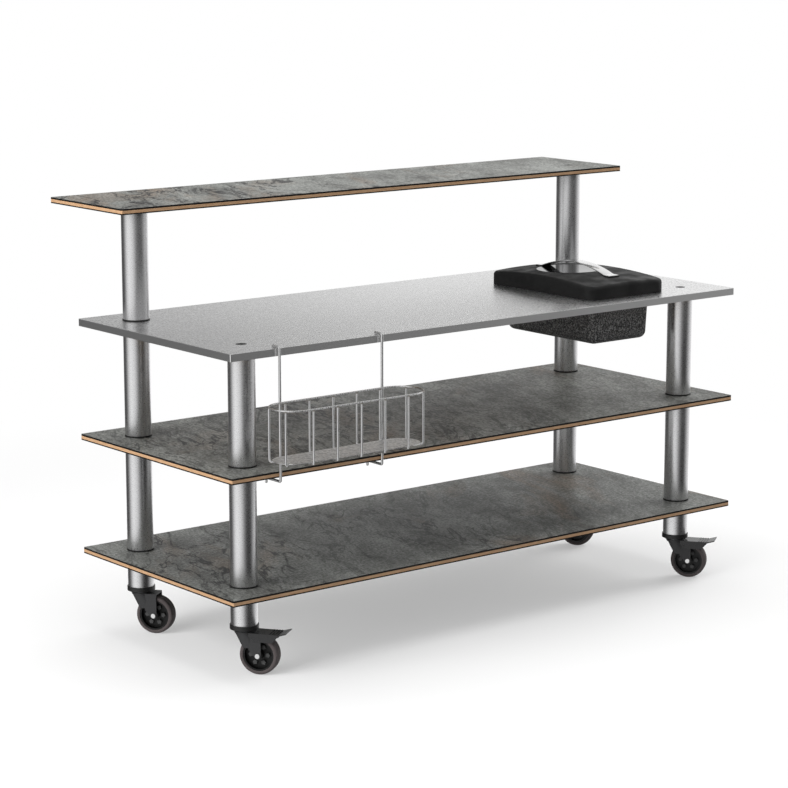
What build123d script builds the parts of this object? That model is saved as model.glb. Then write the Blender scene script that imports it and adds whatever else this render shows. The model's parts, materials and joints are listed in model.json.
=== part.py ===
"""Modular bar station on casters.

Three laminated boards and a steel worktop are clamped on four tube posts. A wire basket hooks on
the front edge, and a tub with a lid hangs in the worktop. Millimetres, +Z up, floor at z = 0,
X along the boards and Y from front to back, centred on the station's outline.
"""

import os
from math import asin, cos, pi, radians, sin, sqrt

from build123d import *

# Boards
board_length = 1500.0
board_depth = 600.0
top_shelf_depth = 300.0
top_shelf_lead = 95.0
ply_core = 7.9
laminate = 2.8
board_corner_radius = 3.0

# Worktop
worktop_sheet = 1.5
worktop_filler = 15.0
worktop_edge_radius = 0.8

# Posts
tube_diameter = 60.0
tube_wall = 1.5
end_inset = 93.0
front_inset = 93.0
rear_inset = 97.0
foot_tube_length = 72.0
lower_tube_length = 250.0
upper_tube_length = 247.0
riser_tube_length = 250.0

# Collars under the tubes, plugs in their heads and the rods that clamp the stack
collar_thickness = 3.0
collar_lip = 1.2
spigot_height = 8.0
plug_height = 8.0
tube_fit = 0.1
rod_diameter = 10.0
thread_fit = 0.05
rod_hole_clearance = 0.5
cap_diameter = 24.0
cap_barrel_diameter = 14.0
cap_barrel_length = 22.0
cap_clearance = 0.2
cap_roof = 4.0
hex_key_radius = 4.0
hex_key_depth = 2.5

# Caster sockets and stems
socket_lip = 2.0
socket_flange = 9.5
socket_spigot = 30.0
stem_diameter = 12.0
stem_length = 20.0
rod_stop = 2.0
bearing_diameter = 42.0
bearing_height = 4.0
swivel_gap = 0.3
kingpin_diameter = 10.0
kingpin_head_diameter = 16.0
kingpin_head_height = 3.5
running_fit = 0.05

# Casters, with the trailing side turned from the +X axis by the heading
caster_heading = -54.0
trail = 36.0
wheel_diameter = 88.0
wheel_width = 30.0
tyre_thickness = 9.0
tyre_shoulder = 6.0
rim_thickness = 3.5
rim_inset = 1.0
hub_diameter = 20.0
web_thickness = 5.0
pad_count = 6
pad_circle_radius = 19.5
pad_radius = 5.5
pad_height = 6.0
hub_side_gap = 0.3
axle_diameter = 8.0
axle_head_diameter = 12.0
axle_head_height = 3.0
axle_nut_height = 5.0
axle_nut_proud = 1.0

# Forks
wheel_side_gap = 1.8
leg_thickness = 3.2
tyre_clearance = 2.0
crown_height = 6.0
crown_radius = 24.0
cheek_thickness = 1.8
cheek_drop = 30.0
cheek_back = 0.0
cheek_front = 36.0
cheek_corner = 6.0
leg_back = 15.5
leg_front = 43.0
leg_rise = 5.0
ear_drop = 2.5
leg_shoulder = 13.0
axle_boss_radius = 7.5
bridge_thickness = 3.0
bridge_back = 22.0

# Brake pedals
pin_x = 25.0
pin_drop = 10.0
pin_diameter = 5.0
pin_head = 0.6
pedal_gap = 0.5
pedal_wall = 1.8
pedal_plate = 3.0
pedal_back = 16.0
pedal_crown_gap = 2.0
pedal_bend_x = 84.0
pedal_tip = 102.0
pedal_tip_rise = 5.0
pedal_tip_thickness = 2.5
skirt_depth = 19.0
skirt_back_depth = 8.0
skirt_front = 70.0
tread_rib_count = 4
tread_rib_pitch = 6.0
tread_rib_width = 2.0
tread_rib_height = 1.0
brake_travel = 10.0
brake_contact_angle = 50.0
brake_pad_gap = 0.4
brake_pad_length = 10.0
brake_pad_width = 22.0

# Basket
basket_offset = 260.0
basket_length = 390.0
basket_depth = 100.0
basket_drop = 116.0
basket_height = 118.0
ring_wire = 4.0
upright_wire = 5.0
hanger_wire = 6.0
hanger_spread = 276.0
hanger_gap = 3.0
hook_gap = 0.3
hook_reach = 20.0
toe_gap = 5.0
toe_reach = 46.0
toe_drop = 12.0
wire_bend_radius = 6.0
upright_count = 14
weld_gap = 0.1
floor_sheet = 1.5
spur_length = 34.0

# Tub and lid
tub_end_setback = 290.0
tub_setback = 252.0
tub_width = 195.0
tub_length = 330.0
tub_depth = 114.0
tub_draft = 6.0
tub_corner = 26.0
tub_floor_radius = 18.0
tub_wall = 3.0
tub_flange_width = 14.0
tub_flange = 3.0
cutout_clearance = 2.0
lid_width = 247.0
lid_length = 374.0
lid_height = 45.0
lid_corner = 30.0
lid_crown_radius = 1500.0
lid_edge_radius = 9.0
lid_foot_gap = 0.5
lid_flange_clearance = 1.5
lid_ledge = 6.0
lid_wall = 6.0
dish_radius = 82.0
dish_depth = 0.8
dish_shift = 27.0
handle_span = 262.0
handle_rise = 21.5
handle_width = 32.0
handle_sheet = 2.5
handle_foot = 18.0
handle_pad_margin = 2.0
handle_pad_rise = 0.3
handle_bend_radius = 12.0

# Heights of the stack, from the floor up
board_thickness = ply_core + 2 * laminate
worktop_thickness = worktop_filler + worktop_sheet
axle_height = wheel_diameter / 2
crown_bottom = wheel_diameter + tyre_clearance
crown_top = crown_bottom + crown_height
caster_height = crown_top + bearing_height
foot_tube_bottom = caster_height + socket_flange
bottom_board = foot_tube_bottom + foot_tube_length
lower_collar = bottom_board + board_thickness
lower_tube_bottom = lower_collar + collar_thickness
middle_board = lower_tube_bottom + lower_tube_length
upper_collar = middle_board + board_thickness
upper_tube_bottom = upper_collar + collar_thickness
worktop_bottom = upper_tube_bottom + upper_tube_length
worktop_top = worktop_bottom + worktop_thickness
riser_tube_bottom = worktop_top + collar_thickness
top_shelf = riser_tube_bottom + riser_tube_length
top_shelf_top = top_shelf + board_thickness

# Plan of the station
hanger_axis = hanger_gap + hanger_wire / 2
ring_back = hanger_axis + hanger_wire / 2 + weld_gap + ring_wire / 2
basket_reach = ring_back + basket_depth + upright_wire / 2
shelf_overhang = top_shelf_depth - top_shelf_lead - rear_inset
front_edge = (basket_reach - board_depth - shelf_overhang) / 2
board_middle = front_edge + board_depth / 2
rear_post = front_edge + board_depth - rear_inset
shelf_middle = rear_post - top_shelf_lead + top_shelf_depth / 2
left_end = -board_length / 2
post_x = board_length / 2 - end_inset
posts = {
    "front_left": (-post_x, front_edge + front_inset),
    "front_right": (post_x, front_edge + front_inset),
    "rear_left": (-post_x, rear_post),
    "rear_right": (post_x, rear_post),
}
post_axes = list(posts.values())
front_axes = post_axes[:2]
rear_axes = post_axes[2:]

# Fits shared by several pieces
tube_radius = tube_diameter / 2
spigot_radius = tube_radius - tube_wall - tube_fit
rod_radius = rod_diameter / 2
rod_hole = rod_radius + rod_hole_clearance
barrel_hole = cap_barrel_diameter / 2 + cap_clearance
cap_hole = cap_diameter / 2 + cap_clearance

os.makedirs("parts", exist_ok=True)


def keep(piece, label):
    """Label a finished piece and write it as one STEP file."""
    piece.label = label
    export_step(piece, f"parts/{label}.step")


# Boards


def layer(label, bottom, thickness, middle, depth, holes):
    """One flat layer of a board, with round holes given as (x, y, radius)."""
    with BuildPart() as sheet:
        with BuildSketch(Plane.XY.offset(bottom)):
            with Locations((0, middle)):
                RectangleRounded(board_length, depth, board_corner_radius)
            for x, y, radius in holes:
                with Locations((x, y)):
                    Circle(radius, mode=Mode.SUBTRACT)
        extrude(amount=thickness)
    keep(sheet.part, label)


def laminated_board(name, bottom, middle, depth, core_holes, top_holes):
    """A plywood core between two laminate sheets."""
    layer(f"{name}_under_laminate", bottom, laminate, middle, depth, core_holes)
    layer(f"{name}_core", bottom + laminate, ply_core, middle, depth, core_holes)
    layer(f"{name}_top_laminate", bottom + laminate + ply_core, laminate, middle, depth, top_holes)


rod_holes = [(x, y, rod_hole) for x, y in post_axes]
barrel_holes = [(x, y, barrel_hole) for x, y in rear_axes]
cap_holes = [(x, y, cap_hole) for x, y in rear_axes]
laminated_board("bottom_board", bottom_board, board_middle, board_depth, rod_holes, rod_holes)
laminated_board("middle_board", middle_board, board_middle, board_depth, rod_holes, rod_holes)
laminated_board("top_shelf", top_shelf, shelf_middle, top_shelf_depth, barrel_holes, cap_holes)


# Worktop: a folded sheet over a filler board, with the tub's cut-out

tub_x = board_length / 2 - tub_end_setback
tub_y = front_edge + tub_setback
cutout_width = tub_width + 2 * cutout_clearance
cutout_length = tub_length + 2 * cutout_clearance
cutout_corner = tub_corner + cutout_clearance

with BuildPart() as worktop_skin:
    with BuildSketch(Plane.XY.offset(worktop_bottom)):
        with Locations((0, board_middle)):
            RectangleRounded(board_length, board_depth, board_corner_radius)
    extrude(amount=worktop_thickness)
    fillet(worktop_skin.faces().sort_by(Axis.Z)[-1].edges(), worktop_edge_radius)
    with BuildSketch(Plane.XY.offset(worktop_bottom)):
        with Locations((0, board_middle)):
            RectangleRounded(
                board_length - 2 * worktop_sheet,
                board_depth - 2 * worktop_sheet,
                board_corner_radius - worktop_sheet,
            )
    extrude(amount=worktop_filler, mode=Mode.SUBTRACT)
    with BuildSketch(Plane.XY.offset(worktop_bottom)):
        with Locations((tub_x, tub_y)):
            RectangleRounded(cutout_width, cutout_length, cutout_corner)
        with Locations(*rear_axes):
            Circle(rod_hole)
        with Locations(*front_axes):
            Circle(cap_hole)
    extrude(amount=worktop_thickness, mode=Mode.SUBTRACT)
keep(worktop_skin.part, "worktop_skin")

with BuildPart() as worktop_core:
    with BuildSketch(Plane.XY.offset(worktop_bottom)):
        with Locations((0, board_middle)):
            RectangleRounded(
                board_length - 2 * worktop_sheet,
                board_depth - 2 * worktop_sheet,
                board_corner_radius - worktop_sheet,
            )
        with Locations((tub_x, tub_y)):
            RectangleRounded(cutout_width, cutout_length, cutout_corner, mode=Mode.SUBTRACT)
        with Locations(*rear_axes):
            Circle(rod_hole, mode=Mode.SUBTRACT)
        with Locations(*front_axes):
            Circle(barrel_hole, mode=Mode.SUBTRACT)
    extrude(amount=worktop_filler)
keep(worktop_core.part, "worktop_core")


# Posts


def post_tube(label, axis, bottom, length):
    """One tube of a post."""
    with BuildPart() as tube:
        with BuildSketch(Plane.XY.offset(bottom)):
            with Locations(axis):
                Circle(tube_radius)
                Circle(tube_radius - tube_wall, mode=Mode.SUBTRACT)
        extrude(amount=length)
    keep(tube.part, label)


tiers = {
    "foot_tube": (foot_tube_bottom, foot_tube_length, post_axes),
    "lower_tube": (lower_tube_bottom, lower_tube_length, post_axes),
    "upper_tube": (upper_tube_bottom, upper_tube_length, post_axes),
    "riser_tube": (riser_tube_bottom, riser_tube_length, rear_axes),
}
for tier, (tube_bottom, tube_length, axes) in tiers.items():
    for corner, post_axis in posts.items():
        if post_axis in axes:
            post_tube(f"{corner}_{tier}", post_axis, tube_bottom, tube_length)

with BuildPart() as tube_collars:
    for tier, (tube_bottom, tube_length, axes) in tiers.items():
        if tier != "foot_tube":
            with BuildSketch(Plane.XY.offset(tube_bottom - collar_thickness)):
                with Locations(*axes):
                    Circle(tube_radius + collar_lip)
                    Circle(rod_hole, mode=Mode.SUBTRACT)
            extrude(amount=collar_thickness)
            with BuildSketch(Plane.XY.offset(tube_bottom)):
                with Locations(*axes):
                    Circle(spigot_radius)
                    Circle(rod_hole, mode=Mode.SUBTRACT)
            extrude(amount=spigot_height)
keep(tube_collars.part, "tube_collars")

with BuildPart() as tube_plugs:
    for tube_bottom, tube_length, axes in tiers.values():
        with BuildSketch(Plane.XY.offset(tube_bottom + tube_length - plug_height)):
            with Locations(*axes):
                Circle(spigot_radius)
                Circle(barrel_hole, mode=Mode.SUBTRACT)
        extrude(amount=plug_height)
keep(tube_plugs.part, "tube_plugs")

rod_bottom = caster_height + stem_length + rod_stop
columns = [
    (front_axes, worktop_top, worktop_sheet),
    (rear_axes, top_shelf_top, laminate),
]

with BuildPart() as tie_rods:
    for axes, stack_top, cap_flange in columns:
        with BuildSketch(Plane.XY.offset(rod_bottom)):
            with Locations(*axes):
                Circle(rod_radius)
        extrude(amount=stack_top - cap_flange - cap_roof - rod_bottom)
keep(tie_rods.part, "tie_rods")

with BuildPart() as cap_nuts:
    for axes, stack_top, cap_flange in columns:
        with BuildSketch(Plane.XY.offset(stack_top - cap_flange)):
            with Locations(*axes):
                Circle(cap_diameter / 2)
        extrude(amount=cap_flange)
        with BuildSketch(Plane.XY.offset(stack_top - cap_flange)):
            with Locations(*axes):
                Circle(cap_barrel_diameter / 2)
        extrude(amount=-cap_barrel_length)
        with BuildSketch(Plane.XY.offset(stack_top - cap_flange - cap_barrel_length)):
            with Locations(*axes):
                Circle(rod_radius + thread_fit)
        extrude(amount=cap_barrel_length - cap_roof, mode=Mode.SUBTRACT)
        with BuildSketch(Plane.XY.offset(stack_top)):
            with Locations(*axes):
                RegularPolygon(hex_key_radius, 6)
        extrude(amount=-hex_key_depth, mode=Mode.SUBTRACT)
keep(cap_nuts.part, "cap_nuts")


# Caster sockets in the foot tubes, and the stems that the forks swivel on

with BuildPart() as caster_sockets:
    with BuildSketch(Plane.XY.offset(caster_height)):
        with Locations(*post_axes):
            Circle(tube_radius + socket_lip)
    extrude(amount=socket_flange)
    with BuildSketch(Plane.XY.offset(foot_tube_bottom)):
        with Locations(*post_axes):
            Circle(spigot_radius)
    extrude(amount=socket_spigot)
    with BuildSketch(Plane.XY.offset(caster_height)):
        with Locations(*post_axes):
            Circle(rod_radius + thread_fit)
    extrude(amount=socket_flange + socket_spigot, mode=Mode.SUBTRACT)
    with BuildSketch(Plane.XY.offset(caster_height)):
        with Locations(*post_axes):
            Circle(stem_diameter / 2 + thread_fit)
    extrude(amount=stem_length + rod_stop, mode=Mode.SUBTRACT)
keep(caster_sockets.part, "caster_sockets")

kingpin_head_top = crown_bottom - swivel_gap

with BuildPart() as caster_stems:
    with BuildSketch(Plane.XY.offset(caster_height)):
        with Locations(*post_axes):
            Circle(stem_diameter / 2)
    extrude(amount=stem_length)
    with BuildSketch(Plane.XY.offset(crown_top + swivel_gap)):
        with Locations(*post_axes):
            Circle(bearing_diameter / 2)
    extrude(amount=bearing_height - swivel_gap)
    with BuildSketch(Plane.XY.offset(kingpin_head_top)):
        with Locations(*post_axes):
            Circle(kingpin_diameter / 2)
    extrude(amount=crown_top + swivel_gap - kingpin_head_top)
    with BuildSketch(Plane.XY.offset(kingpin_head_top)):
        with Locations(*post_axes):
            Circle(kingpin_head_diameter / 2)
    extrude(amount=-kingpin_head_height)
keep(caster_stems.part, "caster_stems")


# Casters, modelled on their swivel axis with the wheel trailing along +X

slot_half = wheel_width / 2 + wheel_side_gap
fork_half = slot_half + leg_thickness
leg_top = crown_bottom + leg_rise
plate_bottom = leg_top - pedal_plate
pin_height = plate_bottom - pin_drop
wheel_plane = Plane(origin=(trail, 0, axle_height), x_dir=(1, 0, 0), z_dir=(0, -1, 0))
side_plane = Plane(origin=(0, 0, 0), x_dir=(1, 0, 0), z_dir=(0, -1, 0))


def swivel_fork(braked):
    """A crown drawn down into cheeks, with two legs round the wheel.

    A braked fork ends in two open ears under the pedal, a plain one is bridged over the wheel.
    """
    ear_top = crown_bottom - ear_drop if braked else leg_top
    slot_top = leg_top if braked else leg_top - bridge_thickness
    with BuildPart() as fork:
        with BuildSketch(Plane.XY.offset(crown_top)):
            Circle(crown_radius)
        with BuildSketch(Plane.XY.offset(crown_bottom - cheek_drop)):
            with Locations(((cheek_back + cheek_front) / 2, 0)):
                RectangleRounded(
                    cheek_front - cheek_back, 2 * (slot_half + cheek_thickness), cheek_corner
                )
        loft()
        with BuildSketch(side_plane):
            with Locations((trail, axle_height)):
                Circle(axle_boss_radius)
            with Locations((leg_back, axle_height + leg_shoulder)):
                Rectangle(
                    leg_front - leg_back,
                    ear_top - axle_height - leg_shoulder,
                    align=(Align.MIN, Align.MIN),
                )
            make_hull()
        extrude(amount=fork_half, both=True)
        with BuildSketch(side_plane):
            Rectangle(4 * wheel_diameter, 2 * crown_bottom)
            with Locations((bridge_back, 0)):
                Rectangle(2 * wheel_diameter, slot_top, align=(Align.MIN, Align.MIN))
        extrude(amount=slot_half, both=True, mode=Mode.SUBTRACT)
        with BuildSketch(Plane.XY.offset(crown_bottom)):
            Circle(kingpin_diameter / 2 + running_fit)
        extrude(amount=crown_height, mode=Mode.SUBTRACT)
        with BuildSketch(wheel_plane):
            Circle(axle_diameter / 2 + thread_fit)
        extrude(amount=fork_half, both=True, mode=Mode.SUBTRACT)
        if braked:
            with BuildSketch(side_plane):
                with Locations((pin_x, pin_height)):
                    Circle(pin_diameter / 2 + thread_fit)
            extrude(amount=fork_half, both=True, mode=Mode.SUBTRACT)
    return fork.part


plain_fork = swivel_fork(braked=False)
braked_fork = swivel_fork(braked=True)

# The axle is a bolt with a domed head on the outer face and a hexagon nut on the other
with BuildPart() as axle:
    with BuildSketch(wheel_plane.offset(fork_half)):
        Circle(axle_head_diameter / 2)
    extrude(amount=axle_head_height)
    fillet(axle.faces().sort_by(Axis.Y)[0].edges(), axle_head_height / 2)
    with BuildSketch(wheel_plane.offset(fork_half)):
        Circle(axle_diameter / 2)
    extrude(amount=-2 * fork_half - axle_nut_height - axle_nut_proud)
    with BuildSketch(wheel_plane.offset(-fork_half)):
        RegularPolygon(axle_head_diameter / 2, 6)
        Circle(axle_diameter / 2 + thread_fit, mode=Mode.SUBTRACT)
    extrude(amount=-axle_nut_height)

# Wheel: a dished rim with a web, a hub and raised five-sided pads
rim_radius = wheel_diameter / 2 - tyre_thickness
rim_half = wheel_width / 2 - rim_inset
hub_half = slot_half - hub_side_gap

with BuildPart() as wheel_core:
    with BuildSketch(wheel_plane.offset(-rim_half)):
        Circle(rim_radius)
        Circle(rim_radius - rim_thickness, mode=Mode.SUBTRACT)
    extrude(amount=2 * rim_half)
    with BuildSketch(wheel_plane.offset(-web_thickness / 2)):
        Circle(rim_radius - rim_thickness)
    extrude(amount=web_thickness)
    with BuildSketch(wheel_plane.offset(-hub_half)):
        Circle(hub_diameter / 2)
    extrude(amount=2 * hub_half)
    with BuildSketch(wheel_plane.offset(-web_thickness / 2 - pad_height)):
        with PolarLocations(pad_circle_radius, pad_count):
            RegularPolygon(pad_radius, 5)
    extrude(amount=web_thickness + 2 * pad_height)
    with BuildSketch(wheel_plane):
        Circle(axle_diameter / 2 + running_fit)
    extrude(amount=hub_half, both=True, mode=Mode.SUBTRACT)

with BuildPart() as tyre:
    with BuildSketch(wheel_plane.offset(-wheel_width / 2)):
        Circle(wheel_diameter / 2)
    extrude(amount=wheel_width)
    fillet(tyre.edges().filter_by(GeomType.CIRCLE), tyre_shoulder)
    with BuildSketch(wheel_plane):
        Circle(rim_radius + thread_fit)
    extrude(amount=wheel_width, both=True, mode=Mode.SUBTRACT)

# Brake pedal: a channel over the fork's ears that tips a pad onto the tyre
channel_half = fork_half + pedal_gap
pedal_half = channel_half + pedal_wall
contact_radius = wheel_diameter / 2 + brake_pad_gap
contact_turn = radians(brake_contact_angle)
contact_x = trail + contact_radius * cos(contact_turn) - pin_x
contact_z = axle_height + contact_radius * sin(contact_turn) - pin_height
travel = radians(brake_travel)
pad_x = pin_x + contact_x * cos(travel) - contact_z * sin(travel)
pad_z = pin_height + contact_x * sin(travel) + contact_z * cos(travel)
pad_lean = contact_turn + travel
pad_plane = Plane(
    origin=(pad_x, 0, pad_z),
    x_dir=(0, 1, 0),
    z_dir=(cos(pad_lean), 0, sin(pad_lean)),
)

with BuildPart() as brake_pedal:
    with BuildSketch(side_plane):
        with BuildLine():
            Polyline(
                (pedal_back, leg_top),
                (pedal_bend_x, leg_top),
                (pedal_tip, leg_top + pedal_tip_rise),
                (pedal_tip, leg_top + pedal_tip_rise - pedal_tip_thickness),
                (pedal_bend_x, plate_bottom),
                (skirt_front, leg_top - skirt_depth),
                (pin_x, leg_top - skirt_depth),
                (pedal_back, leg_top - skirt_back_depth),
                close=True,
            )
        make_face()
    extrude(amount=pedal_half, both=True)
    with BuildSketch(side_plane):
        with Locations((0, plate_bottom)):
            Rectangle(pedal_bend_x, wheel_diameter, align=(Align.MIN, Align.MAX))
    extrude(amount=channel_half, both=True, mode=Mode.SUBTRACT)
    with BuildSketch(Plane.XY):
        Circle(crown_radius + pedal_crown_gap)
    extrude(amount=caster_height, mode=Mode.SUBTRACT)
    with BuildSketch(pad_plane):
        Rectangle(brake_pad_width, brake_pad_length)
    extrude(until=Until.NEXT)
    with BuildSketch(Plane.XY.offset(leg_top)):
        with Locations((pedal_bend_x - tread_rib_count * tread_rib_pitch / 2, 0)):
            with GridLocations(tread_rib_pitch, 0, tread_rib_count, 1):
                Rectangle(tread_rib_width, 2 * channel_half)
    extrude(amount=tread_rib_height)
    with BuildSketch(side_plane):
        with Locations((pin_x, pin_height)):
            Circle(pin_diameter / 2 + running_fit)
    extrude(amount=pedal_half, both=True, mode=Mode.SUBTRACT)

# The pedal tips on two stub pins, one through each leg, so that the wheel runs free between them
with BuildPart() as brake_pin:
    for side in (-1, 1):
        with BuildSketch(side_plane.offset(side * slot_half)):
            with Locations((pin_x, pin_height)):
                Circle(pin_diameter / 2)
        extrude(amount=side * (pedal_half + pin_head - slot_half))

for corner, post_axis in posts.items():
    braked = corner.startswith("front")
    place = Location((*post_axis, 0), (0, 0, caster_heading))
    keep((braked_fork if braked else plain_fork).moved(place), f"{corner}_fork")
    keep(axle.part.moved(place), f"{corner}_axle")
    keep(wheel_core.part.moved(place), f"{corner}_wheel_core")
    keep(tyre.part.moved(place), f"{corner}_tyre")
    if braked:
        keep(brake_pedal.part.moved(place), f"{corner}_brake_pedal")
        keep(brake_pin.part.moved(place), f"{corner}_brake_pin")


# Wire basket on the front edge

basket_x = left_end + basket_offset
ring_top = worktop_top - basket_drop
ring_back_y = front_edge - ring_back
ring_front_y = ring_back_y - basket_depth
end_radius = basket_depth / 2
straight_half = basket_length / 2 - end_radius
wire_floor = ring_top - basket_height
floor_bottom = wire_floor + upright_wire / 2 + weld_gap
ring_plane = Plane(origin=(basket_x, ring_back_y - end_radius, ring_top))

with BuildPart() as basket_ring:
    with BuildLine(ring_plane) as ring_path:
        front_rail = Line((-straight_half, -end_radius), (straight_half, -end_radius))
        right_end = ThreePointArc(
            front_rail @ 1, (straight_half + end_radius, 0), (straight_half, end_radius)
        )
        back_rail = Line(right_end @ 1, (-straight_half, end_radius))
        ThreePointArc(back_rail @ 1, (-straight_half - end_radius, 0), front_rail @ 0)
    with BuildSketch(Plane(origin=ring_path.line @ 0, z_dir=ring_path.line % 0)):
        Circle(ring_wire / 2)
    sweep()
keep(basket_ring.part, "basket_ring")

# Uprights stand at an even pitch round the ring: hoops on the straights, spurs on the ends
upright_top = ring_top - ring_wire / 2 - weld_gap
perimeter = 4 * straight_half + 2 * pi * end_radius
pitch = perimeter / upright_count
hoops_per_side = int(straight_half // pitch)
hoop_offsets = [step * pitch for step in range(-hoops_per_side, hoops_per_side + 1)]
spurs_per_end = (upright_count - 2 * len(hoop_offsets)) // 2
spur_turns = [
    ((hoops_per_side + 1 + step) * pitch - straight_half) / end_radius for step in range(spurs_per_end)
]

with BuildPart() as basket_uprights:
    for offset_x in hoop_offsets:
        with BuildLine(Plane.YZ.offset(basket_x + offset_x)) as hoop:
            FilletPolyline(
                (ring_front_y, upright_top),
                (ring_front_y, wire_floor),
                (ring_back_y, wire_floor),
                (ring_back_y, upright_top),
                radius=wire_bend_radius,
            )
        with BuildSketch(Plane(origin=hoop.line @ 0, z_dir=hoop.line % 0)):
            Circle(upright_wire / 2)
        sweep()
    for side in (-1, 1):
        for turn in spur_turns:
            inward = Vector(-side * sin(turn), cos(turn), 0)
            end_centre = Vector(basket_x + side * straight_half, ring_back_y - end_radius, 0)
            spur_plane = Plane(
                origin=end_centre - inward * end_radius,
                x_dir=inward,
                z_dir=inward.cross(Vector(0, 0, 1)),
            )
            with BuildLine(spur_plane) as spur:
                FilletPolyline(
                    (0, upright_top),
                    (0, wire_floor),
                    (spur_length, wire_floor),
                    radius=wire_bend_radius,
                )
            with BuildSketch(Plane(origin=spur.line @ 0, z_dir=spur.line % 0)):
                Circle(upright_wire / 2)
            sweep()
keep(basket_uprights.part, "basket_uprights")

with BuildPart() as basket_floor:
    with BuildSketch(Plane(origin=(basket_x, ring_back_y - end_radius, floor_bottom))):
        SlotOverall(basket_length - 2 * wire_bend_radius, basket_depth - 2 * wire_bend_radius)
    extrude(amount=floor_sheet)
keep(basket_floor.part, "basket_floor")

hook_z = worktop_top + hook_gap + hanger_wire / 2
toe_z = middle_board - toe_gap - hanger_wire / 2

with BuildPart() as basket_hangers:
    for side in (-1, 1):
        with BuildLine(Plane.YZ.offset(basket_x + side * hanger_spread / 2)) as hanger:
            FilletPolyline(
                (front_edge + hook_reach, hook_z),
                (front_edge - hanger_axis, hook_z),
                (front_edge - hanger_axis, toe_z),
                (front_edge + toe_reach, toe_z),
                (front_edge + toe_reach, toe_z - toe_drop),
                radius=hanger_wire / 2 + hook_gap,
            )
        with BuildSketch(Plane(origin=hanger.line @ 0, z_dir=hanger.line % 0)):
            Circle(hanger_wire / 2)
        sweep()
keep(basket_hangers.part, "basket_hangers")


# Tub in the worktop, its lid and the lid's strap handle


def tub_form(margin):
    """The tub's drafted form with a rounded floor, drawn in all round by a margin."""
    with BuildPart() as form:
        with BuildSketch(Plane.XY.offset(worktop_top)):
            with Locations((tub_x, tub_y)):
                RectangleRounded(tub_width - 2 * margin, tub_length - 2 * margin, tub_corner - margin)
        with BuildSketch(Plane.XY.offset(worktop_top - tub_depth + margin)):
            with Locations((tub_x, tub_y)):
                RectangleRounded(
                    tub_width - 2 * (tub_draft + margin),
                    tub_length - 2 * (tub_draft + margin),
                    tub_corner - tub_draft - margin,
                )
        loft()
        fillet(form.faces().sort_by(Axis.Z)[0].edges(), tub_floor_radius - margin)
    return form.part


with BuildPart() as tub:
    add(tub_form(0))
    add(tub_form(tub_wall), mode=Mode.SUBTRACT)
    with BuildSketch(Plane.XY.offset(worktop_top)):
        with Locations((tub_x, tub_y)):
            RectangleRounded(
                tub_width + 2 * tub_flange_width,
                tub_length + 2 * tub_flange_width,
                tub_corner + tub_flange_width,
            )
            RectangleRounded(
                tub_width - 2 * tub_wall,
                tub_length - 2 * tub_wall,
                tub_corner - tub_wall,
                mode=Mode.SUBTRACT,
            )
    extrude(amount=tub_flange)
keep(tub.part, "tub")

flange_pocket = tub_flange_width + lid_flange_clearance
foot_inner = handle_span / 2 - handle_foot
foot_middle = handle_span / 2 - handle_foot / 2
crown_centre = worktop_top + lid_height - lid_crown_radius
crown_sag = lid_crown_radius - sqrt(lid_crown_radius**2 - foot_inner**2)
pole_turn = (90, 0, 0)
seat_z = worktop_top + lid_height - crown_sag + handle_pad_rise

# A shallow round dish under the strap, turned about the crown's own normal so that its rim is round
dish_tilt = asin(dish_shift / lid_crown_radius)
dish_rim = sqrt(lid_crown_radius**2 - dish_radius**2) - lid_crown_radius
dish_sphere = (dish_radius**2 + dish_depth**2) / (2 * dish_depth)
dish_reach = dish_radius + lid_edge_radius
dish_lift = dish_sphere - sqrt(dish_sphere**2 - dish_reach**2)
dish_plane = Plane(
    origin=(tub_x, tub_y + dish_shift, crown_centre + lid_crown_radius * cos(dish_tilt)),
    x_dir=(1, 0, 0),
    z_dir=(0, -cos(dish_tilt), sin(dish_tilt)),
)

with BuildPart() as lid_dish:
    with BuildSketch(dish_plane):
        with BuildLine():
            dish_axis = Line((0, lid_edge_radius), (0, dish_rim - dish_depth))
            dish_arc = TangentArc(
                dish_axis @ 1, (dish_reach, dish_rim - dish_depth + dish_lift), tangent=(1, 0)
            )
            Polyline(dish_arc @ 1, (dish_reach, lid_edge_radius), dish_axis @ 0)
        make_face()
    revolve(axis=Axis(dish_plane.origin, dish_plane.y_dir))

with BuildPart() as lid_cavity:
    with BuildSketch(Plane.XY.offset(worktop_top)):
        with Locations((tub_x, tub_y)):
            RectangleRounded(
                tub_width + 2 * (tub_flange_width - lid_ledge),
                tub_length + 2 * (tub_flange_width - lid_ledge),
                tub_corner + tub_flange_width - lid_ledge,
            )
    extrude(amount=lid_height)
    with Locations((tub_x, tub_y, crown_centre)):
        Sphere(lid_crown_radius - lid_wall, rotation=pole_turn, mode=Mode.INTERSECT)

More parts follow.
